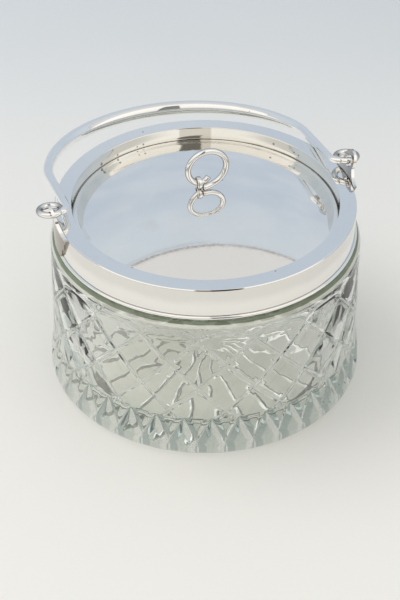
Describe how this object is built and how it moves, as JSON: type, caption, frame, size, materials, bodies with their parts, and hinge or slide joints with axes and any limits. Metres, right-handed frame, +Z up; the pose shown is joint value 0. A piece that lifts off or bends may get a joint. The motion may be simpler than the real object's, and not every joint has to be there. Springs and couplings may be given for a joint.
{
  "type": "biscuit barrel",
  "caption": "Squat pressed-glass biscuit barrel with plated collar, loose domed lid with ring finial, and a swing handle folded back.",
  "frame": {"origin": "centre of the flat base, on the barrel's axis", "axes": "+Z up; X along the handle's pivot; the handle lies folded back along +Y"},
  "size_m": [0.1688, 0.1873, 0.1284],
  "materials": {
    "clear_glass": "clear pressed glass, faint grey-green in thick edges",
    "plaster": "off-white plaster",
    "plate": "polished silver plate, light scratches and a little tarnish",
    "brass_fixing": "dull brass"
  },
  "bodies": {
    "barrel": {"glass_jar": "clear_glass", "plaster_bedding": "plaster", "collar": "plate", "collar_bead": "plate", "seat_ring": "plate", "lug_right": "plate", "lug_left": "plate"},
    "handle": {"bail": "plate"},
    "cover": {"lid": "plate", "finial_eye": "plate", "finial_washer": "brass_fixing", "finial_nut": "brass_fixing"},
    "pull": {"finial_ring": "plate"}
  },
  "joints": [
    {"name": "bail_swing", "type": "hinge", "parent": "barrel", "child": "handle", "pos_m": [0, 0, 0.1056], "axis": [1, 0, 0], "range_deg": [0, 196]},
    {"name": "lid_lift", "type": "slide", "parent": "barrel", "child": "cover", "axis": [0, 0, 1], "range_m": [0, 0.04]},
    {"name": "ring_tilt", "type": "hinge", "parent": "cover", "child": "pull", "pos_m": [0, 0.0008, 0.10815], "axis": [1, 0, 0], "range_deg": [-94, 3]}
  ]
}
